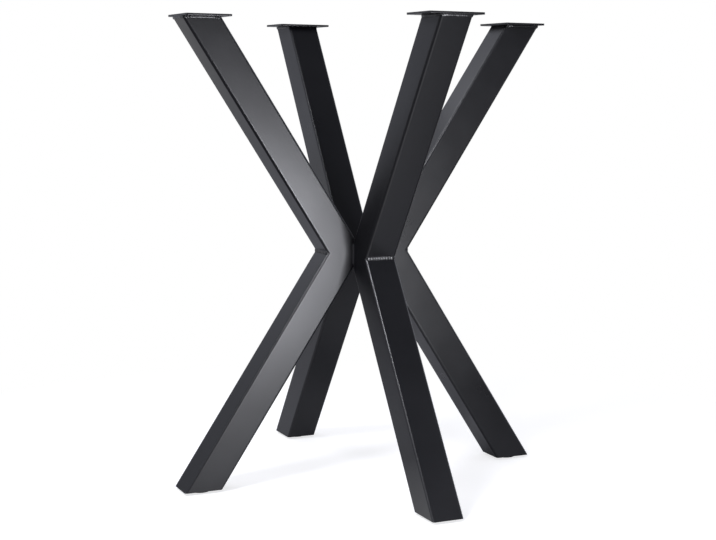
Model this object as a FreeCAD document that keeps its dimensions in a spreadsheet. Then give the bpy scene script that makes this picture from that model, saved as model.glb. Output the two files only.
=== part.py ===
import FreeCAD, Part
import os

import Sketcher
from FreeCAD import Placement, Rotation, Vector

# X shaped steel table base: four mitred pairs of square tube that meet back to back
# at mid-height. Millimetres, +Z up, the floor is z = 0 and the Z axis is the centre.

# Driving dimensions

SIZES = [
    ("arm_rise", 351.5, "half the height of the frames, from the foot end to the plate"),
    ("waist_drop", 5.5, "how far the front and back pairs meet below half height"),
    ("end_reach", 298.0, "centre to the outer face of a tube at its top or foot"),
    ("waist_reach", 68.0, "centre to the outer face of a tube at the waist"),
    ("tube_width", 50.0, "square tube across the frame"),
    ("tube_depth", 50.0, "square tube in the plane of its frame"),
    ("tube_wall", 2.0, "wall of the tube"),
    ("tube_corner", 4.0, "outer corner radius of the tube"),
    ("plate_length", 70.0, "top plate along the frame"),
    ("plate_width", 86.0, "top plate across the frame"),
    ("plate_thick", 3.0, "top plate thickness"),
    ("plate_corner", 3.0, "corner radius of the top plate"),
    ("screw_hole", 6.5, "screw hole in the top plate"),
    ("hole_end", 13.0, "hole centre from the end of the plate"),
    ("hole_side", 9.0, "hole centre from the side of the plate"),
    ("cap_thick", 3.0, "closing plate in the foot"),
    ("cap_gap", 0.3, "gap round the closing plate"),
    ("glide_radius", 17.0, "foot glide"),
    ("glide_height", 4.0, "glide below the tube"),
    ("glide_edge", 1.2, "bevel round the glide"),
    ("stem_radius", 4.0, "glide stem pressed into the closing plate"),
    ("stem_length", 14.0, "glide stem above the disc"),
    ("stem_gap", 0.05, "gap round the stem in its hole"),
    ("bead_leg", 3.2, "leg of the weld across the outer mitre"),
    ("seam_leg", 2.5, "leg of the weld where two frames meet"),
    ("plate_bead", 4.0, "leg of the weld under the top plate"),
]

# Each frame points one way from the centre, has the drop of its waist, and the seam after it
# has a name of its own.
FRAMES = [
    ("right", 0, "0", "right_back"),
    ("back", 90, "Sizes.waist_drop", "back_left"),
    ("left", 180, "0", "left_front"),
    ("front", 270, "Sizes.waist_drop", "front_right"),
]

# Derived lengths, as expressions on the sheet

RUN = "(Sizes.end_reach - Sizes.waist_reach)"
HALF_WIDTH = "(Sizes.tube_width / 2)"
HALF_BORE = f"({HALF_WIDTH} - Sizes.tube_wall)"
CAP_HALF = f"({HALF_BORE} - Sizes.cap_gap)"
PLATE_INNER = "(Sizes.end_reach - Sizes.plate_length)"

# radius of a weld's face, as a share of its half height where it is round or its leg if hollow
ROUND_FACE = 1.15
HOLLOW_FACE = 1.4

FOOT_LEVEL = "Sizes.glide_height"
WAIST_LEVEL = "Sizes.glide_height + Sizes.arm_rise"
TOP_LEVEL = "Sizes.glide_height + 2 * Sizes.arm_rise"


def tube_rise(up, drop):
    """Height of a tube from its waist to its end; up is 1 for the arm, -1 for the leg."""
    return f"(Sizes.arm_rise + {up} * {drop})"


def slant(rise):
    return f"sqrt({RUN} * {RUN} + {rise} * {rise})"


def level_share(rise):
    """Level width of what is one unit wide square to the tube."""
    return f"({slant(rise)} / {rise})"


def lean(rise):
    """Sideways shift of the tube for one unit of height."""
    return f"({RUN} / {rise})"


def inner_face(reach, rise):
    """The inner face of a tube at a level where its outer face is at reach."""
    return f"({reach} - Sizes.tube_depth * {level_share(rise)})"


def closing_span(rise):
    """A closing plate clears the outer wall at its top and the inner wall at its bottom."""
    wall = f"Sizes.tube_wall * {level_share(rise)}"
    inner = f"({inner_face('Sizes.end_reach', rise)} + {wall} + Sizes.cap_gap)"
    outer = f"(Sizes.end_reach - {wall} - Sizes.cap_thick * {lean(rise)} - Sizes.cap_gap)"
    return inner, outer, f"(({inner} + {outer}) / 2)"


doc = FreeCAD.newDocument("x_table_base")
parts = []


def make_sheet():
    sheet = doc.addObject("Spreadsheet::Sheet", "Sizes")
    for row, (alias, value, note) in enumerate(SIZES, start=1):
        sheet.set(f"A{row}", str(value))
        sheet.setAlias(f"A{row}", alias)
        sheet.set(f"B{row}", note)
    doc.recompute()


# Shared steps of the bodies

def make_body(name, angle, level):
    """A body turned to its frame's direction, its origin on the centre line at a level."""
    body = doc.addObject("PartDesign::Body", name)
    body.Label = name
    body.Placement = Placement(Vector(0, 0, 0), Rotation(Vector(0, 0, 1), angle))
    body.setExpression("Placement.Base.z", level)
    parts.append(body)
    return body


def make_sketch(body, name, plane):
    sketch = body.newObject("Sketcher::SketchObject", name)
    support = next(f for f in body.Origin.OriginFeatures if f.Role == plane)
    sketch.AttachmentSupport = [(support, "")]
    sketch.MapMode = "FlatFace"
    return sketch


def place_point(sketch, geometry, end, across, up, rough=(1.0, 1.0)):
    """Hold one end of a line or arc at its distances from the sketch's origin."""
    for kind, expression, value in zip(("DistanceX", "DistanceY"), (across, up), rough):
        constraint = Sketcher.Constraint(kind, -1, 1, geometry, end, value)
        index = sketch.addConstraint(constraint)
        sketch.setExpression(f"Constraints[{index}]", expression)


def draw_outline(sketch, corners):
    """Closed straight-sided outline through corners, each a pair of expressions."""
    first = sketch.GeometryCount
    count = len(corners)
    ring = Rotation(Vector(0, 0, 1), 360 / count)
    spots = [Vector(10, 0, 0)]
    for _ in range(count - 1):
        spots.append(ring.multVec(spots[-1]))
    for k in range(count):
        sketch.addGeometry(Part.LineSegment(spots[k], spots[(k + 1) % count]), False)
    for k in range(count):
        following = first + (k + 1) % count
        sketch.addConstraint(Sketcher.Constraint("Coincident", first + k, 2, following, 1))
    for k, (across, up) in enumerate(corners):
        place_point(sketch, first + k, 1, across, up)


def draw_weld_corner(sketch, rough, first_tip, last_tip, radius):
    """Section of a weld in the corner at the sketch's origin: two legs and an arc between
    their tips. rough holds three points near the arc, counter-clockwise from the first tip."""
    root = Vector(0, 0, 0)
    spots = [Vector(across, up, 0) for across, up in rough]
    sketch.addGeometry(Part.LineSegment(root, spots[0]), False)
    sketch.addGeometry(Part.Arc(*spots), False)
    sketch.addGeometry(Part.LineSegment(spots[-1], root), False)
    sketch.addConstraint(Sketcher.Constraint("Coincident", 0, 1, -1, 1))
    sketch.addConstraint(Sketcher.Constraint("Coincident", 0, 2, 1, 1))
    sketch.addConstraint(Sketcher.Constraint("Coincident", 1, 2, 2, 1))
    sketch.addConstraint(Sketcher.Constraint("Coincident", 2, 2, -1, 1))
    place_point(sketch, 0, 2, *first_tip, rough[0])
    place_point(sketch, 2, 1, *last_tip, rough[-1])
    index = sketch.addConstraint(Sketcher.Constraint("Radius", 1, sketch.Geometry[1].Radius))
    sketch.setExpression(f"Constraints[{index}]", radius)


def make_pad(body, name, sketch, length, both_ways=False, downward=False):
    pad = body.newObject("PartDesign::Pad", name)
    pad.Profile = sketch
    pad.SideType = "Symmetric" if both_ways else "One side"
    pad.Reversed = downward
    pad.setExpression("Length", length)
    doc.recompute()
    return pad


def make_pocket(body, name, sketch, length=None, upward=False):
    """Cut a sketch through its body; a cut with a length goes both ways from the sketch."""
    before = body.Shape.Volume
    pocket = body.newObject("PartDesign::Pocket", name)
    pocket.Profile = sketch
    pocket.Reversed = upward
    pocket.SideType = "One side" if upward else "Symmetric"
    if length is None:
        pocket.Type = "ThroughAll"
    else:
        pocket.setExpression("Length", length)
    doc.recompute()
    if body.Shape.Volume >= before:
        raise RuntimeError(f"{body.Label}: {name} cuts nothing")
    return pocket


def make_fillet(body, name, edge_test, radius):
    """Round the edges of a body's tip that pass a test on their two end points."""
    base = body.Tip
    names = []
    for k, edge in enumerate(base.Shape.Edges, start=1):
        if edge_test(edge.Vertexes[0].Point, edge.Vertexes[-1].Point):
            names.append(f"Edge{k}")
    fillet = body.newObject("PartDesign::Fillet", name)
    fillet.Base = (base, names)
    fillet.setExpression("Radius", radius)
    doc.recompute()
    return fillet


def rises(start, end):
    return abs(start.z - end.z) > 1e-6


# Tubes

def make_tube(name, angle, up, drop):
    """One tube of a mitred pair; up is 1 for the arm and -1 for the leg below it."""
    body = make_body(name, angle, f"{WAIST_LEVEL} - {drop}")
    rise = tube_rise(up, drop)
    end_level = f"{up} * {rise}"
    inner_end = inner_face("Sizes.end_reach", rise)
    inner_waist = inner_face("Sizes.waist_reach", rise)
    side = make_sketch(body, name + "_side", "XZ_Plane")
    draw_outline(side, [
        ("Sizes.waist_reach", "0"),
        ("Sizes.end_reach", end_level),
        (inner_end, end_level),
        (inner_waist, "0"),
    ])
    make_pad(body, name + "_blank", side, "Sizes.tube_width", both_ways=True)
    make_fillet(body, name + "_corners", rises, "Sizes.tube_corner")

    bore = make_sketch(body, name + "_bore_side", "XZ_Plane")
    wall_cut = f"Sizes.tube_wall * {level_share(rise)}"
    draw_outline(bore, [
        (f"Sizes.waist_reach - {wall_cut}", "0"),
        (f"Sizes.end_reach - {wall_cut}", end_level),
        (f"{inner_end} + {wall_cut}", end_level),
        (f"{inner_waist} + {wall_cut}", "0"),
    ])
    half_bore = doc.Sizes.tube_width / 2 - doc.Sizes.tube_wall
    make_pocket(body, name + "_bore", bore, f"2 * {HALF_BORE}")

    def bore_edge(start, end):
        on_wall = abs(abs(start.y) - half_bore) < 1e-6 and abs(abs(end.y) - half_bore) < 1e-6
        return rises(start, end) and on_wall

    make_fillet(body, name + "_bore_corners", bore_edge, "Sizes.tube_corner - Sizes.tube_wall")

    # the inner end is cut to a point, so that four frames meet on upright planes at 45 degrees
    point = make_sketch(body, name + "_point_plan", "XY_Plane")
    span = "Sizes.tube_width"
    draw_outline(point, [
        ("0", "0"),
        (span, span),
        (f"-{span}", span),
        (f"-{span}", f"-{span}"),
        (span, f"-{span}"),
    ])
    make_pocket(body, name + "_point", point)


# Plates and glides

def make_top_plate(name, angle):
    body = make_body(name, angle, TOP_LEVEL)
    half = "Sizes.plate_width / 2"
    plan = make_sketch(body, name + "_plan", "XY_Plane")
    draw_outline(plan, [
        (PLATE_INNER, f"-{half}"),
        ("Sizes.end_reach", f"-{half}"),
        ("Sizes.end_reach", half),
        (PLATE_INNER, half),
    ])
    make_pad(body, name + "_blank", plan, "Sizes.plate_thick")
    make_fillet(body, name + "_corners", rises, "Sizes.plate_corner")

    holes = make_sketch(body, name + "_holes_plan", "XY_Plane")
    ends = (f"{PLATE_INNER} + Sizes.hole_end", "Sizes.end_reach - Sizes.hole_end")
    sides = (f"Sizes.hole_side - {half}", f"{half} - Sizes.hole_side")
    for across in ends:
        for up in sides:
            draw_circle(holes, across, up, "Sizes.screw_hole / 2")
    make_pocket(body, name + "_holes", holes, upward=True)


def draw_circle(sketch, across, up, radius):
    circle = sketch.addGeometry(Part.Circle(Vector(0, 0, 0), Vector(0, 0, 1), 1.0), False)
    place_point(sketch, circle, 3, across, up)
    index = sketch.addConstraint(Sketcher.Constraint("Radius", circle, 1.0))
    sketch.setExpression(f"Constraints[{index}]", radius)


def make_closing_plate(name, angle, drop):
    """Flat plate welded into the foot, flush with the end of the tube."""
    body = make_body(name, angle, FOOT_LEVEL)
    inner, outer, centre = closing_span(tube_rise(-1, drop))
    plan = make_sketch(body, name + "_plan", "XY_Plane")
    draw_outline(plan, [
        (inner, f"-{CAP_HALF}"),
        (outer, f"-{CAP_HALF}"),
        (outer, CAP_HALF),
        (inner, CAP_HALF),
    ])
    make_pad(body, name + "_blank", plan, "Sizes.cap_thick")
    make_fillet(body, name + "_corners", rises, "Sizes.tube_corner - Sizes.tube_wall")
    hole = make_sketch(body, name + "_hole_plan", "XY_Plane")
    draw_circle(hole, centre, "0", "Sizes.stem_radius + Sizes.stem_gap")
    make_pocket(body, name + "_hole", hole, upward=True)


def make_glide(name, angle, drop):
    """Low plastic disc with a stem, turned about the middle of its foot."""
    body = make_body(name, angle, "0")
    turn = Rotation(Vector(0, 0, 1), angle).multVec(Vector(1, 0, 0))
    centre = closing_span(tube_rise(-1, drop))[2]
    body.setExpression("Placement.Base.x", f"{round(turn.x)} * {centre}")
    body.setExpression("Placement.Base.y", f"{round(turn.y)} * {centre}")
    stem_end = "Sizes.glide_height + Sizes.stem_length"
    half = make_sketch(body, name + "_half", "XZ_Plane")
    draw_outline(half, [
        ("0", "0"),
        ("Sizes.glide_radius - Sizes.glide_edge", "0"),
        ("Sizes.glide_radius", "Sizes.glide_edge"),
        ("Sizes.glide_radius", "Sizes.glide_height"),
        ("Sizes.stem_radius", "Sizes.glide_height"),
        ("Sizes.stem_radius", stem_end),
        ("0", stem_end),
    ])
    turned = body.newObject("PartDesign::Revolution", name + "_turned")
    turned.Profile = half
    turned.ReferenceAxis = (half, ["V_Axis"])
    doc.recompute()


# Welds

def make_mitre_weld(name, angle, drop):
    """Bead across the outer faces of a pair, in the angle between them."""
    body = make_body(name, angle, f"{WAIST_LEVEL} - {drop}")
    section = make_sketch(body, name + "_section", "XZ_Plane")
    section.setExpression("AttachmentOffset.Base.x", "Sizes.waist_reach")
    tips = []
    for up in (-1, 1):
        rise = tube_rise(up, drop)
        out = f"Sizes.bead_leg * {RUN} / {slant(rise)}"
        tips.append((out, f"{up} * Sizes.bead_leg * {rise} / {slant(rise)}"))
    rough = ((1.8, -2.7), (3.4, 0.0), (1.8, 2.7))
    draw_weld_corner(section, rough, *tips, f"{ROUND_FACE} * {tips[1][1]}")
    make_pad(body, name + "_bead", section, "Sizes.tube_width - 2 * Sizes.tube_corner", both_ways=True)


def make_seam_weld(name, angle):
    """Upright weld in the corner between a frame and the next one, hollow across its face."""
    body = make_body(name, angle, f"{WAIST_LEVEL} - Sizes.waist_drop / 2")
    section = make_sketch(body, name + "_section", "XY_Plane")
    section.setExpression("AttachmentOffset.Base.x", HALF_WIDTH)
    section.setExpression("AttachmentOffset.Base.y", HALF_WIDTH)
    leg = "Sizes.seam_leg"
    rough = ((0.0, 2.5), (0.9, 0.9), (2.5, 0.0))
    draw_weld_corner(section, rough, ("0", leg), (leg, "0"), f"{HOLLOW_FACE} * {leg}")
    # it covers the height that both frames reach, and ends where their rounded corners begin
    rise = "Sizes.arm_rise"
    corner = f"Sizes.tube_corner * {slant(rise)} / {RUN}"
    half = f"(({HALF_WIDTH} - {inner_face('Sizes.waist_reach', rise)}) / {lean(rise)} - {corner})"
    make_pad(body, name + "_bead", section, f"2 * {half} - Sizes.waist_drop", both_ways=True)


def make_plate_weld(name, angle, drop):
    """Three runs of weld under the top plate: one on each side of the tube and one outside."""
    body = make_body(name, angle, TOP_LEVEL)
    body.AllowCompound = True
    rise = tube_rise(1, drop)
    corner = f"Sizes.tube_corner * {level_share(rise)}"
    inner = f"({inner_face('Sizes.end_reach', rise)} + {corner})"
    outer = f"(Sizes.end_reach - {corner} - Sizes.plate_bead * {lean(rise)})"
    section = make_sketch(body, name + "_side_section", "YZ_Plane")
    section.setExpression("AttachmentOffset.Base.z", inner)
    for side in (1, -1):
        root = f"{side} * {HALF_WIDTH}"
        tip = f"{side} * ({HALF_WIDTH} + Sizes.plate_bead)"
        draw_outline(section, [(root, "0"), (tip, "0"), (root, "-Sizes.plate_bead")])
    make_pad(body, name + "_side_beads", section, f"{outer} - {inner}")

    # the leaning tube leaves room for the outer run inside the edge of the plate
    section = make_sketch(body, name + "_outer_section", "XZ_Plane")
    draw_outline(section, [
        ("Sizes.end_reach", "0"),
        ("Sizes.end_reach", "-Sizes.plate_bead / 2"),
        (f"Sizes.end_reach - Sizes.plate_bead * {lean(rise)}", "-Sizes.plate_bead"),
    ])
    make_pad(body, name + "_outer_bead", section, "Sizes.tube_width - 2 * Sizes.tube_corner", both_ways=True)


def check_and_write():
    doc.recompute()
    for item in doc.Objects:
        if "Invalid" in item.State or "Error" in item.State:
            raise RuntimeError(f"{item.Name} failed: {item.State}")
    for part in parts:
        if part.Shape.isNull() or not part.Shape.isValid():
            raise RuntimeError(f"{part.Label} has no valid shape")
    os.makedirs("parts", exist_ok=True)
    for part in parts:
        part.Shape.exportStep(f"parts/{part.Label}.step")


make_sheet()
for side, angle, drop, seam in FRAMES:
    make_tube(f"upper_arm_{side}", angle, 1, drop)
    make_tube(f"lower_leg_{side}", angle, -1, drop)
    make_top_plate(f"top_plate_{side}", angle)
    make_closing_plate(f"closing_plate_{side}", angle, drop)
    make_glide(f"foot_glide_{side}", angle, drop)
    make_mitre_weld(f"mitre_weld_{side}", angle, drop)
    make_seam_weld(f"seam_weld_{seam}", angle)
    make_plate_weld(f"plate_weld_{side}", angle, drop)
check_and_write()
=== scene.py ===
import math

import bpy
from mathutils import Euler, Matrix, Vector


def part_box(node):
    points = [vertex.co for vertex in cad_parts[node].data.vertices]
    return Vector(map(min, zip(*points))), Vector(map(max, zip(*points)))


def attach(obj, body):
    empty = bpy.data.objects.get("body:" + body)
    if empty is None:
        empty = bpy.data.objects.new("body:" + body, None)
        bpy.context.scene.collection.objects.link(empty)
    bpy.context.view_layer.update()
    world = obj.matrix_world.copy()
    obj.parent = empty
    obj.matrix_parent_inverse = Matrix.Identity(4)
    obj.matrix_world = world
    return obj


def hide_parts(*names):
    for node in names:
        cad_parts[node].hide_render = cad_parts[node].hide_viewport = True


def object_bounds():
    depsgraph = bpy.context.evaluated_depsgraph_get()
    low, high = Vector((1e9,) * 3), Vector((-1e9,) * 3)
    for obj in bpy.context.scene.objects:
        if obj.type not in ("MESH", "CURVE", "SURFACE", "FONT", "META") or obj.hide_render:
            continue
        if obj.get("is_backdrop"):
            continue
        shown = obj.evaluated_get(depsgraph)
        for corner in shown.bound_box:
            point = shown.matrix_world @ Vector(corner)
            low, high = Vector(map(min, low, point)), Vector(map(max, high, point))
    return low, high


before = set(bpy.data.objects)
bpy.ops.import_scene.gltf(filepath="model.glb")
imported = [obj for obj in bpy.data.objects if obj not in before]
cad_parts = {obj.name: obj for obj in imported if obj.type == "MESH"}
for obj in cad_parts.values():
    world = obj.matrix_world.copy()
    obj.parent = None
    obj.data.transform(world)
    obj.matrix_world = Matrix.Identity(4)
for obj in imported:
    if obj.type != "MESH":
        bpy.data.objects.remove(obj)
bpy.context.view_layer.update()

bl_info = {
    "name": "X table base",
    "version": (1, 0, 0),
    "blender": (4, 5, 0),
    "location": "View3D > Sidebar > Table Base",
    "description": "Finish, welds and studio for a welded steel table base",
    "category": "Object",
}

MM = 0.001
COAT = "black_powder_coat"

# One frame points each way from the centre: its name and its turn about the centre line.
FRAMES = {"right": 0, "back": 90, "left": 180, "front": 270}

# Cleaning and easing of a plate: points this close are one, faces this flat are one, edges
# sharper than this are eased, and faces that meet below the last angle are shaded as one.
SAME_POINT = 0.01 * MM
SAME_PLANE = math.radians(1)
SHARP_EDGE = math.radians(50)
SOFT_EDGE = math.radians(40)
EASE_SEGMENTS = 3

# A bead laid by hand wavers from ripple to ripple. These are the steps of the waves in its
# height, width, tilt and line, and how far its wavering tilts it and takes it off its line.
HEIGHT_WAVE, WIDTH_WAVE, TILT_WAVE, LINE_WAVE = 2.1, 1.7, 3.3, 1.3
HEIGHT_START = 0.4
TILT_SHARE = 0.3
LINE_SHARE = 2 * MM
BEAD_VOXEL = 0.35 * MM

# Half a ripple's length as a share of the pitch, how far it wavers, and how many ripples
# at each end of the run are lower.
MITRE_OVERLAP, MITRE_UNSTEADY, MITRE_TAPER = 1.2, 0.03, 1
PLATE_OVERLAP, PLATE_UNSTEADY, PLATE_TAPER = 1.5, 0.02, 3

# Where each lamp hangs and how large it is: degrees round from the front, degrees up from
# the waist, metres from the waist, and its width and height in metres.
LAMPS = {
    "key_soft_box": (10, -6, 1.5, (0.42, 0.32)),
    "left_spot": (-62, 41, 1.9, (0.35, 0.38)),
    "back_soft_box": (-150, 40, 1.5, (0.5, 0.5)),
}

# Brightness of the studio's walls in a gloss: the sine of the height angle, and the level.
FRONT_WALL = [(-0.05, 0.16), (0.18, 0.12), (0.3, 0.7), (0.5, 0.7), (0.68, 0.14), (1.0, 0.12)]
BACK_WALL = [(-0.05, 0.72), (0.06, 0.48), (0.13, 0.05), (0.18, 0.14), (0.25, 0.48), (0.32, 0.72),
             (0.4, 0.62), (0.5, 0.6), (0.66, 0.1)]
# Where the front wall turns into the back wall, and where the two sides begin and are full.
BACK_START, BACK_FULL = -0.15, 0.15
FLANK_START, FLANK_FULL = 0.72, 0.95

# The floor, in metres. It is plain white for the camera past the object's shadow.
FLOOR_RADIUS = 6.0
WHITE_START, WHITE_FULL = 0.5, 0.9
# In a gloss only, the floor is painted as a pale oval sheet under and behind the base on a darker
# floor, a painted reflection that lights and shades the legs' faces: the oval's centre, turn and
# half sizes, and the shares of the half sizes at which it starts and ends.
SHEET_CENTRE = (-0.24, 1.0, 0)
SHEET_TURN = (0, 0, math.radians(12))
SHEET_HALF = (0.4, 2.6, 1)
SHEET_FADE, SHEET_END = 0.7, 1.05
# In a gloss only, painted glow makes the sheet brighter towards the left front and the floor
# brighter far from the base.
NEAR_WAY = (-0.8, -1, 0)
NEAR_START, NEAR_FULL = 0.05, 0.5
FAR_START, FAR_FULL = 1.3, 2.6


# Colours and nodes

def linear(hex_colour):
    """Linear red, green, blue and alpha of an sRGB hex colour such as #1A2B3C."""
    channels = [int(hex_colour[k:k + 2], 16) / 255 for k in (1, 3, 5)]
    return [c / 12.92 if c <= 0.04045 else ((c + 0.055) / 1.055) ** 2.4 for c in channels] + [1.0]


def add_node(tree, kind, settings=None, **inputs):
    """A node with its settings, and each input either linked from a socket or set to a value.
    An input is given by name, with _ for a space, or as _ and its number."""
    node = tree.nodes.new(kind)
    for name, value in (settings or {}).items():
        setattr(node, name, value)
    for name, value in inputs.items():
        key = int(name[1:]) if name[0] == "_" else name.replace("_", " ")
        socket = node.inputs[key]
        if isinstance(value, bpy.types.NodeSocket):
            tree.links.new(value, socket)
        else:
            socket.default_value = value
    return node


def new_material(name):
    material = bpy.data.materials.new(name)
    material.use_nodes = True
    material.node_tree.nodes.clear()
    return material, material.node_tree


def fit_material(piece, material):
    if not piece.material_slots:
        piece.data.materials.append(material)
    for part in piece.material_slots:
        part.material = material


# Powder coat: a black polyester powder, sprayed on dry and baked. It flows into a satin skin
# with a faint orange peel about 2 mm across and a fine grain, a little paler where it is thin.
def powder_coat(finish):
    material, tree = new_material(COAT)
    place = add_node(tree, "ShaderNodeTexCoord")
    peel = add_node(tree, "ShaderNodeTexNoise", Vector=place.outputs["Object"],
                    Scale=1 / finish.peel_size, Detail=2.0, Roughness=0.4)
    grain = add_node(tree, "ShaderNodeTexNoise", Vector=place.outputs["Object"],
                     Scale=1 / finish.grain_size, Detail=3.0, Roughness=0.6)
    cloud = add_node(tree, "ShaderNodeTexNoise", Vector=place.outputs["Object"],
                     Scale=1 / finish.cloud_size, Detail=4.0, Roughness=0.55)
    shade = add_node(tree, "ShaderNodeMix", {"data_type": "RGBA"}, Factor=cloud.outputs["Fac"],
                     _6=linear(finish.coat_deep), _7=linear(finish.coat_pale))
    gloss = add_node(tree, "ShaderNodeMapRange", Value=cloud.outputs["Fac"],
                     From_Min=0.3, From_Max=0.7,
                     To_Min=finish.coat_roughness - finish.roughness_drift,
                     To_Max=finish.coat_roughness + finish.roughness_drift)
    height = add_node(tree, "ShaderNodeMix", {"data_type": "FLOAT"}, Factor=0.35,
                      _2=peel.outputs["Fac"], _3=grain.outputs["Fac"])
    bump = add_node(tree, "ShaderNodeBump", Strength=0.25, Distance=finish.coat_depth,
                    Height=height.outputs[0])
    skin = add_node(tree, "ShaderNodeBsdfPrincipled", Base_Color=shade.outputs[2],
                    Roughness=gloss.outputs["Result"], IOR=1.5, Normal=bump.outputs["Normal"])
    add_node(tree, "ShaderNodeOutputMaterial", Surface=skin.outputs["BSDF"])
    return material


# Moulded polypropylene of the glides: matt black, with a fine spark-eroded texture.
def glide_plastic(finish):
    material, tree = new_material("moulded_polypropylene")
    place = add_node(tree, "ShaderNodeTexCoord")
    grain = add_node(tree, "ShaderNodeTexNoise", Vector=place.outputs["Object"],
                     Scale=1 / finish.mould_grain, Detail=3.0)
    bump = add_node(tree, "ShaderNodeBump", Strength=0.3, Distance=finish.mould_depth,
                    Height=grain.outputs["Fac"])
    skin = add_node(tree, "ShaderNodeBsdfPrincipled", Base_Color=linear(finish.glide_colour),
                    Roughness=0.62, IOR=1.49, Normal=bump.outputs["Normal"])
    add_node(tree, "ShaderNodeOutputMaterial", Surface=skin.outputs["BSDF"])
    return material


# Modelling steps

def deselect_all():
    if bpy.context.mode != "OBJECT":
        bpy.ops.object.mode_set(mode="OBJECT")
    bpy.ops.object.select_all(action="DESELECT")


def pick(piece):
    deselect_all()
    piece.select_set(True)
    bpy.context.view_layer.objects.active = piece


def join(pieces, name):
    deselect_all()
    for piece in pieces:
        piece.select_set(True)
    bpy.context.view_layer.objects.active = pieces[-1]
    bpy.ops.object.join()
    whole = bpy.context.active_object
    whole.name = name
    return whole


def finish_modifier(piece, kind, **settings):
    modifier = piece.modifiers.new(kind.lower(), kind)
    for name, value in settings.items():
        setattr(modifier, name, value)
    pick(piece)
    bpy.ops.object.modifier_apply(modifier=modifier.name)


def settle(piece, matrix):
    """Move a piece to its place and hold the place in its mesh."""
    piece.matrix_world = matrix
    pick(piece)
    bpy.ops.object.transform_apply(location=True, rotation=True, scale=True)


def turn_upright(angle):
    """A turn about the upright axis, in degrees."""
    return Matrix.Rotation(math.radians(angle), 4, "Z")


def lay_bead(name, length, sizes, pitch, unsteady, taper):
    """A run of weld along Y: overlapping ripples of uneven size, melted into one skin.
    sizes are a ripple's half lengths outward, along the run and across it."""
    crown, half_ripple, half_width = sizes
    count = max(2, round((length - 2 * half_ripple) / pitch) + 1)
    first = -(length / 2 - half_ripple)
    step = -2 * first / (count - 1)
    ripples = []
    for k in range(count):
        swell = 1 + unsteady * math.sin(HEIGHT_WAVE * k + HEIGHT_START)
        swell *= min(1, (min(k, count - 1 - k) + 1) / taper)
        spread = 1 + unsteady * math.cos(WIDTH_WAVE * k)
        deselect_all()
        bpy.ops.mesh.primitive_uv_sphere_add(segments=24, ring_count=16, radius=1.0)
        ripple = bpy.context.active_object
        ripple.scale = (crown * swell, half_ripple, half_width * spread)
        ripple.rotation_euler = (0, TILT_SHARE * unsteady * math.sin(TILT_WAVE * k), 0)
        ripple.location = (0, first + k * step, LINE_SHARE * unsteady * math.sin(LINE_WAVE * k))
        ripples.append(ripple)
    bead = join(ripples, name)
    bpy.ops.object.transform_apply(location=True, rotation=True, scale=True)
    finish_modifier(bead, "REMESH", mode="VOXEL", voxel_size=BEAD_VOXEL)
    finish_modifier(bead, "SMOOTH", factor=0.5, iterations=2)
    bpy.ops.object.shade_smooth()
    return bead


def dress_node(piece, node, material):
    """Give a piece its finish and let it stand for a CAD node."""
    fit_material(piece, material)
    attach(piece, "root")
    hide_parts(node)


# Sizes, colours and levels that a user may change

class TableBaseFinish(bpy.types.PropertyGroup):
    """Colours and texture of the steel and the glides."""
    coat_deep: bpy.props.StringProperty(
        name="Deep coat colour", description="sRGB hex colour of the coat", default="#0E0E10")
    coat_pale: bpy.props.StringProperty(
        name="Pale coat colour", description="sRGB hex colour where the coat is thin",
        default="#121215")
    coat_roughness: bpy.props.FloatProperty(
        name="Coat roughness", description="Roughness of the satin coat", default=0.30,
        subtype="FACTOR")
    roughness_drift: bpy.props.FloatProperty(
        name="Roughness drift", description="How far the roughness drifts up and down",
        default=0.03, subtype="FACTOR")
    peel_size: bpy.props.FloatProperty(
        name="Orange peel", description="Width of one dimple of the coat", default=2 * MM,
        unit="LENGTH")
    grain_size: bpy.props.FloatProperty(
        name="Grain", description="Width of one grain of the coat", default=0.5 * MM,
        unit="LENGTH")
    cloud_size: bpy.props.FloatProperty(
        name="Cloud", description="Width of a thin or thick area of the coat", default=90 * MM,
        unit="LENGTH")
    coat_depth: bpy.props.FloatProperty(
        name="Coat depth", description="Height of the coat's dimples", default=0.05 * MM,
        unit="LENGTH")
    edge_ease: bpy.props.FloatProperty(
        name="Eased edge", description="Rounding of the plates' edges under the coat",
        default=0.9 * MM, unit="LENGTH")
    glide_colour: bpy.props.StringProperty(
        name="Glide colour", description="sRGB hex colour of the glides", default="#151515")
    mould_grain: bpy.props.FloatProperty(
        name="Mould grain", description="Width of one grain of the glides", default=0.4 * MM,
        unit="LENGTH")
    mould_depth: bpy.props.FloatProperty(
        name="Mould depth", description="Depth of the glides' grain", default=0.04 * MM,
        unit="LENGTH")


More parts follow.
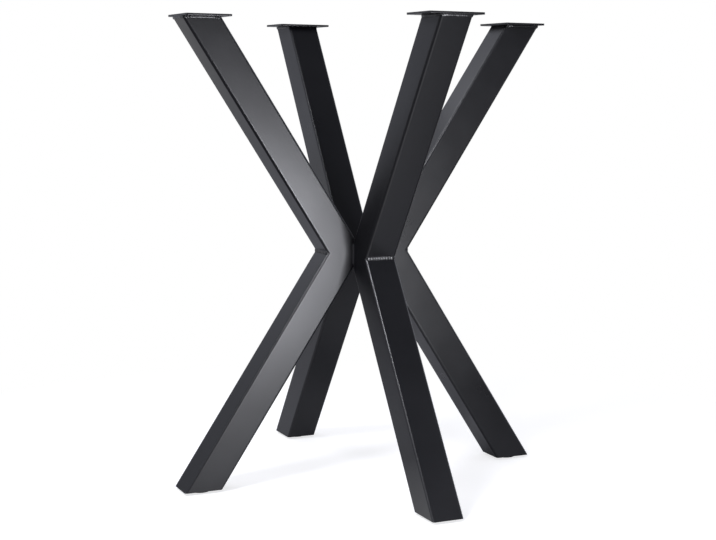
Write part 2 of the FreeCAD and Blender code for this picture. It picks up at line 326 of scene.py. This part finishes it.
class TableBaseWelds(bpy.types.PropertyGroup):
    """Sizes of the welds."""
    ripple_pitch: bpy.props.FloatProperty(
        name="Ripple pitch", description="From one ripple of a mitre weld to the next",
        default=4.2 * MM, unit="LENGTH")
    mitre_crown: bpy.props.FloatProperty(
        name="Mitre crown", description="Crown of the mitre weld above its root",
        default=1.8 * MM, unit="LENGTH")
    mitre_root: bpy.props.FloatProperty(
        name="Mitre root", description="From the inside of the CAD bead to the weld's root",
        default=0.5 * MM, unit="LENGTH")
    mitre_overrun: bpy.props.FloatProperty(
        name="Mitre overrun", description="How much longer the weld is than the CAD bead",
        default=6 * MM, unit="LENGTH")
    plate_pitch: bpy.props.FloatProperty(
        name="Plate ripple pitch", description="From one ripple of a plate weld to the next",
        default=3.2 * MM, unit="LENGTH")
    side_crown: bpy.props.FloatProperty(
        name="Side crown", description="Half depth of the welds along an arm's sides",
        default=1.6 * MM, unit="LENGTH")
    side_height: bpy.props.FloatProperty(
        name="Side height", description="Half height of the welds along an arm's sides",
        default=2.9 * MM, unit="LENGTH")
    side_drop: bpy.props.FloatProperty(
        name="Side drop", description="From the plate down to the side welds' middle",
        default=1.3 * MM, unit="LENGTH")
    side_lead: bpy.props.FloatProperty(
        name="Side lead", description="How far the side welds start before the CAD bead",
        default=4 * MM, unit="LENGTH")
    side_stop: bpy.props.FloatProperty(
        name="Side stop", description="How far the side welds stop short of the CAD bead's end",
        default=2 * MM, unit="LENGTH")
    end_crown: bpy.props.FloatProperty(
        name="End crown", description="Half depth of the weld across an arm's outer face",
        default=1.5 * MM, unit="LENGTH")
    end_height: bpy.props.FloatProperty(
        name="End height", description="Half height of the weld across an arm's outer face",
        default=3.6 * MM, unit="LENGTH")
    end_drop: bpy.props.FloatProperty(
        name="End drop", description="From the plate down to the end weld's middle",
        default=0.7 * MM, unit="LENGTH")
    end_inset: bpy.props.FloatProperty(
        name="End inset", description="From the CAD bead's end in to the end weld's middle",
        default=1.6 * MM, unit="LENGTH")


class TableBaseStage(bpy.types.PropertyGroup):
    """Camera, floor and lamps."""
    lens: bpy.props.FloatProperty(
        name="Lens", description="Focal length on a 36 mm wide frame, in millimetres",
        default=72.8)
    camera_azimuth: bpy.props.FloatProperty(
        name="Camera azimuth", description="Turn of the camera round the base",
        default=math.radians(-25.02), subtype="ANGLE")
    camera_distance: bpy.props.FloatProperty(
        name="Camera distance", description="Level distance from the centre line",
        default=2.2444, unit="LENGTH")
    camera_side: bpy.props.FloatProperty(
        name="Camera side step", description="Step of the camera to its right",
        default=-0.0052, unit="LENGTH")
    camera_height: bpy.props.FloatProperty(
        name="Camera height", description="Height of the camera above the floor",
        default=0.6110, unit="LENGTH")
    camera_pitch: bpy.props.FloatProperty(
        name="Camera pitch", description="Tilt of the camera, down is negative",
        default=-0.1273, subtype="ANGLE")
    camera_roll: bpy.props.FloatProperty(
        name="Camera roll", description="Turn of the camera about its view",
        default=0.0093, subtype="ANGLE")
    key_level: bpy.props.FloatProperty(
        name="Key level", description="Brightness of the low soft box in front", default=36.0)
    side_level: bpy.props.FloatProperty(
        name="Side level", description="Brightness of the spot on the left", default=56.0)
    back_level: bpy.props.FloatProperty(
        name="Back level", description="Brightness of the soft box behind", default=5.7)
    lamp_colour: bpy.props.StringProperty(
        name="Lamp colour", description="sRGB hex colour of the lamps", default="#F3F4FB")
    flank_level: bpy.props.FloatProperty(
        name="Flank level", description="Brightness of the studio's two sides in a gloss",
        default=1.2)
    room_level: bpy.props.FloatProperty(
        name="Room level", description="Brightness of the room for matt surfaces", default=0.5)
    room_colour: bpy.props.StringProperty(
        name="Room colour", description="sRGB hex colour of the room's light",
        default="#E9ECF9")
    sheet_colour: bpy.props.StringProperty(
        name="Sheet colour", description="sRGB hex colour of the floor sheet",
        default="#BEBEC0")
    # Painted reflection: the darker floor round the sheet, seen only by glossy rays.
    painted_floor_reflection: bpy.props.StringProperty(
        name="Floor colour", description="sRGB hex colour of the floor round it in a gloss",
        default="#5C5C5E")
    white_level: bpy.props.FloatProperty(
        name="White level", description="Glow that brings the floor up to white for the camera",
        default=0.7)
    # Painted glow on the floor, seen only by glossy rays.
    near_level: bpy.props.FloatProperty(
        name="Near level", description="Glow of the sheet at the left front in a gloss",
        default=0.7)
    far_level: bpy.props.FloatProperty(
        name="Far level", description="Glow of the floor far from the base in a gloss",
        default=0.42)


# Steps, one for each group of pieces and one for the stage

class TABLEBASE_OT_finish(bpy.types.Operator):
    """Coat the steel and give the glides their plastic"""
    bl_idname = "table_base.finish"
    bl_label = "Coat the Steel"

    def execute(self, context):
        finish = context.scene.table_base_finish
        coat = powder_coat(finish)
        plastic = glide_plastic(finish)
        for node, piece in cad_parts.items():
            fit_material(piece, plastic if node.startswith("foot_glide") else coat)
        return {"FINISHED"}


class TABLEBASE_OT_plates(bpy.types.Operator):
    """Ease the edges of the top plates"""
    bl_idname = "table_base.plates"
    bl_label = "Ease the Plate Edges"

    def execute(self, context):
        finish = context.scene.table_base_finish
        for side in FRAMES:
            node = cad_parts[f"top_plate_{side}"]
            plate = bpy.data.objects.new(f"eased_plate_{side}", node.data.copy())
            context.scene.collection.objects.link(plate)
            pick(plate)
            bpy.ops.object.mode_set(mode="EDIT")
            bpy.ops.mesh.select_all(action="SELECT")
            bpy.ops.mesh.remove_doubles(threshold=SAME_POINT)
            bpy.ops.mesh.dissolve_limited(angle_limit=SAME_PLANE)
            bpy.ops.object.mode_set(mode="OBJECT")
            finish_modifier(plate, "BEVEL", width=finish.edge_ease, segments=EASE_SEGMENTS,
                            limit_method="ANGLE", angle_limit=SHARP_EDGE)
            bpy.ops.object.shade_smooth_by_angle(angle=SOFT_EDGE)
            dress_node(plate, f"top_plate_{side}", bpy.data.materials[COAT])
        return {"FINISHED"}


class TABLEBASE_OT_mitre_welds(bpy.types.Operator):
    """Lay the rippled beads across the outer mitres"""
    bl_idname = "table_base.mitre_welds"
    bl_label = "Lay the Mitre Welds"

    def execute(self, context):
        welds = context.scene.table_base_welds
        low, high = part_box("mitre_weld_right")
        length = high[1] - low[1] + welds.mitre_overrun
        pitch = welds.ripple_pitch
        sizes = (welds.mitre_crown, MITRE_OVERLAP * pitch, high[2] - low[2])
        for side, angle in FRAMES.items():
            bottom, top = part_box(f"mitre_weld_{side}")
            bead = lay_bead(f"mitre_bead_{side}", length, sizes, pitch, MITRE_UNSTEADY,
                            MITRE_TAPER)
            spot = (low[0] + welds.mitre_root, 0, (bottom[2] + top[2]) / 2)
            settle(bead, turn_upright(angle) @ Matrix.Translation(spot))
            dress_node(bead, f"mitre_weld_{side}", bpy.data.materials[COAT])
        return {"FINISHED"}


class TABLEBASE_OT_plate_welds(bpy.types.Operator):
    """Lay a bead along each side of the arms and across their ends, under the top plates"""
    bl_idname = "table_base.plate_welds"
    bl_label = "Lay the Plate Welds"

    def execute(self, context):
        welds = context.scene.table_base_welds
        low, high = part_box("plate_weld_right")
        half_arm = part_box("upper_arm_right")[1][1]
        under = high[2]
        start, end = low[0] - welds.side_lead, high[0] - welds.side_stop
        pitch = welds.plate_pitch
        half_ripple = PLATE_OVERLAP * pitch
        side_sizes = (welds.side_crown, half_ripple, welds.side_height)
        end_sizes = (welds.end_crown, half_ripple, welds.end_height)
        middle, side_level = (start + end) / 2, under - welds.side_drop
        end_spot = (high[0] - welds.end_inset, 0, under - welds.end_drop)
        runs_of_an_arm = (
            (90, end - start, side_sizes, (middle, half_arm, side_level)),
            (-90, end - start, side_sizes, (middle, -half_arm, side_level)),
            (0, 2 * half_arm, end_sizes, end_spot),
        )
        for side, angle in FRAMES.items():
            runs = []
            for turn, length, sizes, spot in runs_of_an_arm:
                run = lay_bead("run", length, sizes, pitch, PLATE_UNSTEADY, PLATE_TAPER)
                place = Matrix.Translation(spot) @ turn_upright(turn)
                settle(run, turn_upright(angle) @ place)
                runs.append(run)
            bead = join(runs, f"plate_bead_{side}")
            dress_node(bead, f"plate_weld_{side}", bpy.data.materials[COAT])
        return {"FINISHED"}


class TABLEBASE_OT_stage(bpy.types.Operator):
    """Set the floor, the lamps, the room and the camera"""
    bl_idname = "table_base.stage"
    bl_label = "Set the Studio"

    def execute(self, context):
        stage = context.scene.table_base_stage
        add_floor(stage)
        add_room(stage)
        levels = (stage.key_level, stage.side_level, stage.back_level)
        for (name, place), level in zip(LAMPS.items(), levels):
            add_lamp(name, *place, level, stage.lamp_colour)
        add_camera(context, stage)
        return {"FINISHED"}


def add_camera(context, stage):
    bpy.ops.object.camera_add()
    camera = context.active_object
    camera.name = "camera"
    camera.data.lens = stage.lens
    camera.data.sensor_width = 36
    turn = Matrix.Rotation(stage.camera_azimuth, 4, "Z")
    spot = turn @ Vector((stage.camera_side, -stage.camera_distance, 0))
    camera.location = (spot.x, spot.y, stage.camera_height)
    aim = Euler((math.radians(90) + stage.camera_pitch, 0, stage.camera_azimuth)).to_matrix()
    camera.rotation_euler = (aim @ Matrix.Rotation(stage.camera_roll, 3, "Z")).to_euler()
    context.scene.camera = camera


def add_lamp(name, azimuth, elevation, distance, size, level, colour):
    """A soft box aimed at the waist of the base; level is the brightness of its face."""
    waist = Vector((0, 0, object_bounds()[1][2] / 2))
    across, up = math.radians(azimuth), math.radians(elevation)
    way = Vector((math.sin(across) * math.cos(up), -math.cos(across) * math.cos(up), math.sin(up)))
    bpy.ops.object.light_add(type="AREA", location=waist + way * distance)
    lamp = bpy.context.active_object
    lamp.name = name
    lamp.rotation_euler = way.to_track_quat("Z", "Y").to_euler()
    lamp.data.shape = "RECTANGLE"
    lamp.data.size, lamp.data.size_y = size
    lamp.data.energy = level * math.pi * size[0] * size[1]
    lamp.data.color = linear(colour)[:3]
    lamp.visible_camera = False


def ray_kinds(tree):
    """1 for the rays that look at the background, and 1 for the rays of a gloss."""
    path = add_node(tree, "ShaderNodeLightPath")
    seen = add_node(tree, "ShaderNodeMath", {"operation": "MAXIMUM"},
                    _0=path.outputs["Is Camera Ray"], _1=path.outputs["Is Transmission Ray"])
    return seen.outputs[0], path.outputs["Is Glossy Ray"]


# Studio paper: matt and pale, white for the camera with the object's shadow on it. In the coat's
# gloss it shows a painted reflection, a pale sheet with soft edges on a darker floor with painted
# glow, which draws the legs' light and dark faces.
def add_floor(stage):
    deselect_all()
    bpy.ops.mesh.primitive_circle_add(vertices=96, radius=FLOOR_RADIUS, fill_type="NGON")
    floor = bpy.context.active_object
    floor.name = "floor"
    material, tree = new_material("pale_studio_floor")
    seen, gloss = ray_kinds(tree)
    place = add_node(tree, "ShaderNodeTexCoord")
    reach = add_node(tree, "ShaderNodeVectorMath", {"operation": "LENGTH"},
                     _0=place.outputs["Object"])
    past_shadow = add_node(tree, "ShaderNodeMapRange", Value=reach.outputs["Value"],
                           From_Min=WHITE_START, From_Max=WHITE_FULL)
    blank = add_node(tree, "ShaderNodeMath", {"operation": "MULTIPLY"},
                     _0=past_shadow.outputs["Result"], _1=seen)

    oval = add_node(tree, "ShaderNodeMapping", {"vector_type": "TEXTURE"},
                    Vector=place.outputs["Object"], Location=SHEET_CENTRE, Rotation=SHEET_TURN,
                    Scale=SHEET_HALF)
    spread = add_node(tree, "ShaderNodeVectorMath", {"operation": "LENGTH"},
                      _0=oval.outputs["Vector"])
    edge = add_node(tree, "ShaderNodeMapRange", Value=spread.outputs["Value"],
                    From_Min=SHEET_FADE, From_Max=SHEET_END)
    dim = add_node(tree, "ShaderNodeMath", {"operation": "MULTIPLY"},
                   _0=edge.outputs["Result"], _1=gloss)
    # Painted shade in the reflection: for glossy rays only, the floor turns darker outside the
    # oval sheet.
    shade = add_node(tree, "ShaderNodeMix", {"data_type": "RGBA"}, Factor=dim.outputs[0],
                     _6=linear(stage.sheet_colour), _7=linear(stage.painted_floor_reflection))

    # Painted glow in the reflection: for glossy rays only, brighter far from the base and towards
    # the sheet's left front.
    far = add_node(tree, "ShaderNodeMapRange", Value=reach.outputs["Value"],
                   From_Min=FAR_START, From_Max=FAR_FULL, To_Max=stage.far_level)
    along = add_node(tree, "ShaderNodeVectorMath", {"operation": "DOT_PRODUCT"},
                     _0=place.outputs["Object"], _1=NEAR_WAY)
    near = add_node(tree, "ShaderNodeMapRange", Value=along.outputs["Value"],
                    From_Min=NEAR_START, From_Max=NEAR_FULL, To_Max=stage.near_level)
    on_sheet = add_node(tree, "ShaderNodeMath", {"operation": "SUBTRACT"},
                        _0=1.0, _1=edge.outputs["Result"])
    both = add_node(tree, "ShaderNodeMath", {"operation": "MULTIPLY_ADD"},
                    _0=near.outputs["Result"], _1=on_sheet.outputs[0], _2=far.outputs["Result"])
    in_gloss = add_node(tree, "ShaderNodeMath", {"operation": "MULTIPLY"},
                        _0=both.outputs[0], _1=gloss)
    glow_level = add_node(tree, "ShaderNodeMath", {"operation": "MULTIPLY_ADD"},
                          _0=seen, _1=stage.white_level, _2=in_gloss.outputs[0])

    paper = add_node(tree, "ShaderNodeBsdfDiffuse", Color=shade.outputs[2])
    glow = add_node(tree, "ShaderNodeEmission", Color=linear("#FFFFFF"),
                    Strength=glow_level.outputs[0])
    lit = add_node(tree, "ShaderNodeAddShader", _0=paper.outputs[0], _1=glow.outputs[0])
    white = add_node(tree, "ShaderNodeEmission", Color=linear("#FFFFFF"), Strength=1.0)
    mixed = add_node(tree, "ShaderNodeMixShader", _0=blank.outputs[0], _1=lit.outputs[0],
                     _2=white.outputs[0])
    add_node(tree, "ShaderNodeOutputMaterial", Surface=mixed.outputs[0])
    fit_material(floor, material)
    floor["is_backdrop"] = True


def add_room(stage):
    """White for the camera, even light for matt surfaces, and pale and dark walls in a gloss."""
    world = bpy.data.worlds.new("studio_room")
    bpy.context.scene.world = world
    world.use_nodes = True
    tree = world.node_tree
    tree.nodes.clear()
    seen, gloss = ray_kinds(tree)
    way = add_node(tree, "ShaderNodeTexCoord")
    split = add_node(tree, "ShaderNodeSeparateXYZ", Vector=way.outputs["Generated"])
    behind = add_node(tree, "ShaderNodeMapRange", {"interpolation_type": "SMOOTHSTEP"},
                      Value=split.outputs["Y"], From_Min=BACK_START, From_Max=BACK_FULL)
    height = add_node(tree, "ShaderNodeMapRange", Value=split.outputs["Z"], From_Min=-1.0)
    walls = []
    for levels in (FRONT_WALL, BACK_WALL):
        wall = add_node(tree, "ShaderNodeValToRGB", Fac=height.outputs["Result"])
        ramp = wall.color_ramp
        while len(ramp.elements) < len(levels):
            ramp.elements.new(1.0)
        for stop, (rise, level) in zip(ramp.elements, levels):
            stop.position = (rise + 1) / 2
            stop.color = (level, level, level, 1.0)
        walls.append(wall.outputs["Color"])
    around = add_node(tree, "ShaderNodeMix", {"data_type": "FLOAT"},
                      Factor=behind.outputs["Result"], _2=walls[0], _3=walls[1])
    aside = add_node(tree, "ShaderNodeMath", {"operation": "ABSOLUTE"}, _0=split.outputs["X"])
    flank = add_node(tree, "ShaderNodeMapRange", {"interpolation_type": "SMOOTHSTEP"},
                     Value=aside.outputs[0], From_Min=FLANK_START, From_Max=FLANK_FULL)
    mirrored = add_node(tree, "ShaderNodeMix", {"data_type": "FLOAT"},
                        Factor=flank.outputs["Result"], _2=around.outputs[0],
                        _3=stage.flank_level)
    felt = add_node(tree, "ShaderNodeMix", {"data_type": "FLOAT"}, Factor=gloss,
                    _2=stage.room_level, _3=mirrored.outputs[0])
    level = add_node(tree, "ShaderNodeMix", {"data_type": "FLOAT"}, Factor=seen,
                     _2=felt.outputs[0], _3=1.0)
    tint = add_node(tree, "ShaderNodeMix", {"data_type": "RGBA"}, Factor=seen,
                    _6=linear(stage.room_colour), _7=linear("#FFFFFF"))
    room = add_node(tree, "ShaderNodeBackground", Color=tint.outputs[2],
                    Strength=level.outputs[0])
    add_node(tree, "ShaderNodeOutputWorld", Surface=room.outputs[0])


class TABLEBASE_PT_panel(bpy.types.Panel):
    """Steps that dress the table base"""
    bl_label = "Table Base"
    bl_idname = "TABLEBASE_PT_panel"
    bl_space_type = "VIEW_3D"
    bl_region_type = "UI"
    bl_category = "Table Base"

    def draw(self, context):
        for step in STEPS:
            self.layout.operator(step.bl_idname)
        for group in GROUPS:
            box = self.layout.box()
            settings = getattr(context.scene, group)
            for name in settings.bl_rna.properties.keys():
                if name not in {"rna_type", "name"}:
                    box.prop(settings, name)


GROUPS = {
    "table_base_finish": TableBaseFinish,
    "table_base_welds": TableBaseWelds,
    "table_base_stage": TableBaseStage,
}
STEPS = [
    TABLEBASE_OT_finish,
    TABLEBASE_OT_plates,
    TABLEBASE_OT_mitre_welds,
    TABLEBASE_OT_plate_welds,
    TABLEBASE_OT_stage,
]
CLASSES = [*GROUPS.values(), *STEPS, TABLEBASE_PT_panel]


def register():
    for item in CLASSES:
        bpy.utils.register_class(item)
    for name, group in GROUPS.items():
        setattr(bpy.types.Scene, name, bpy.props.PointerProperty(type=group))


def unregister():
    for name in GROUPS:
        delattr(bpy.types.Scene, name)
    for item in reversed(CLASSES):
        bpy.utils.unregister_class(item)


def main():
    register()
    bpy.context.scene.view_settings.view_transform = "Standard"
    bpy.ops.table_base.finish()
    bpy.ops.table_base.plates()
    bpy.ops.table_base.mitre_welds()
    bpy.ops.table_base.plate_welds()
    bpy.ops.table_base.stage()
    bpy.context.view_layer.update()


if __name__ == "__main__":
    main()
